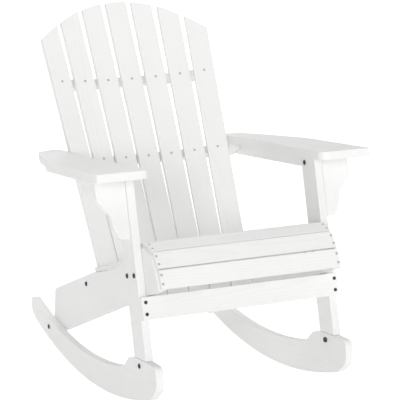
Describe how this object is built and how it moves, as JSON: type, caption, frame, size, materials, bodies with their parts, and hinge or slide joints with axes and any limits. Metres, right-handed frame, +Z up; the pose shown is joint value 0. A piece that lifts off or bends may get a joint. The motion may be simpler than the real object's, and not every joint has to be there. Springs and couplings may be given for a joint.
{
  "type": "rocking chair",
  "caption": "Slatted wooden rocking chair with broad arms on scrolled brackets, a contoured slat seat and a fan-shaped, arched slat back.",
  "frame": {"origin": "on the floor, under the middle of the whole chair's box, with the chair standing still on its rockers", "axes": "+X to the sitter's left, +Y to the back of the chair, +Z up from the floor"},
  "size_m": [0.702, 0.9442, 0.939],
  "materials": {
    "white_paint": "satin white paint over wood, grain faintly raised",
    "black_steel": "black-coated steel, semi-gloss",
    "zinc_steel": "dull zinc-plated steel"
  },
  "bodies": {
    "root": {"rocker_left": "white_paint", "rocker_right": "white_paint", "front_leg_left": "white_paint", "front_leg_right": "white_paint", "seat_side_rail_left": "white_paint", "seat_side_rail_right": "white_paint", "arm_support_left": "white_paint", "arm_support_right": "white_paint", "arm_left": "white_paint", "arm_right": "white_paint", "arm_bracket_left": "white_paint", "arm_bracket_right": "white_paint", "front_apron": "white_paint", "seat_slat_01": "white_paint", "seat_slat_02": "white_paint", "seat_slat_03": "white_paint", "seat_slat_04": "white_paint", "seat_slat_05": "white_paint", "seat_slat_06": "white_paint", "seat_slat_07": "white_paint", "seat_slat_08": "white_paint", "seat_slat_09": "white_paint", "seat_slat_10": "white_paint", "seat_slat_11": "white_paint", "back_slat_1": "white_paint", "back_slat_2": "white_paint", "back_slat_3": "white_paint", "back_slat_4": "white_paint", "back_slat_5": "white_paint", "back_slat_6": "white_paint", "back_slat_7": "white_paint", "top_cross_rail": "white_paint", "arm_cross_rail": "white_paint", "bottom_cross_rail": "white_paint", "bolt_leg_1_left": "black_steel", "bolt_leg_2_left": "black_steel", "bolt_rocker_front_left": "black_steel", "bolt_rocker_rear_left": "black_steel", "bolt_arm_support_left": "black_steel", "bolt_back_left": "black_steel", "nut_leg_1_left": "black_steel", "nut_leg_2_left": "black_steel", "nut_rocker_front_left": "black_steel", "nut_rocker_rear_left": "black_steel", "nut_arm_support_left": "black_steel", "apron_screw_1_left": "black_steel", "apron_screw_2_left": "black_steel", "bolt_leg_1_right": "black_steel", "bolt_leg_2_right": "black_steel", "bolt_rocker_front_right": "black_steel", "bolt_rocker_rear_right": "black_steel", "bolt_arm_support_right": "black_steel", "bolt_back_right": "black_steel", "nut_leg_1_right": "black_steel", "nut_leg_2_right": "black_steel", "nut_rocker_front_right": "black_steel", "nut_rocker_rear_right": "black_steel", "nut_arm_support_right": "black_steel", "apron_screw_1_right": "black_steel", "apron_screw_2_right": "black_steel"}
  },
  "joints": []
}
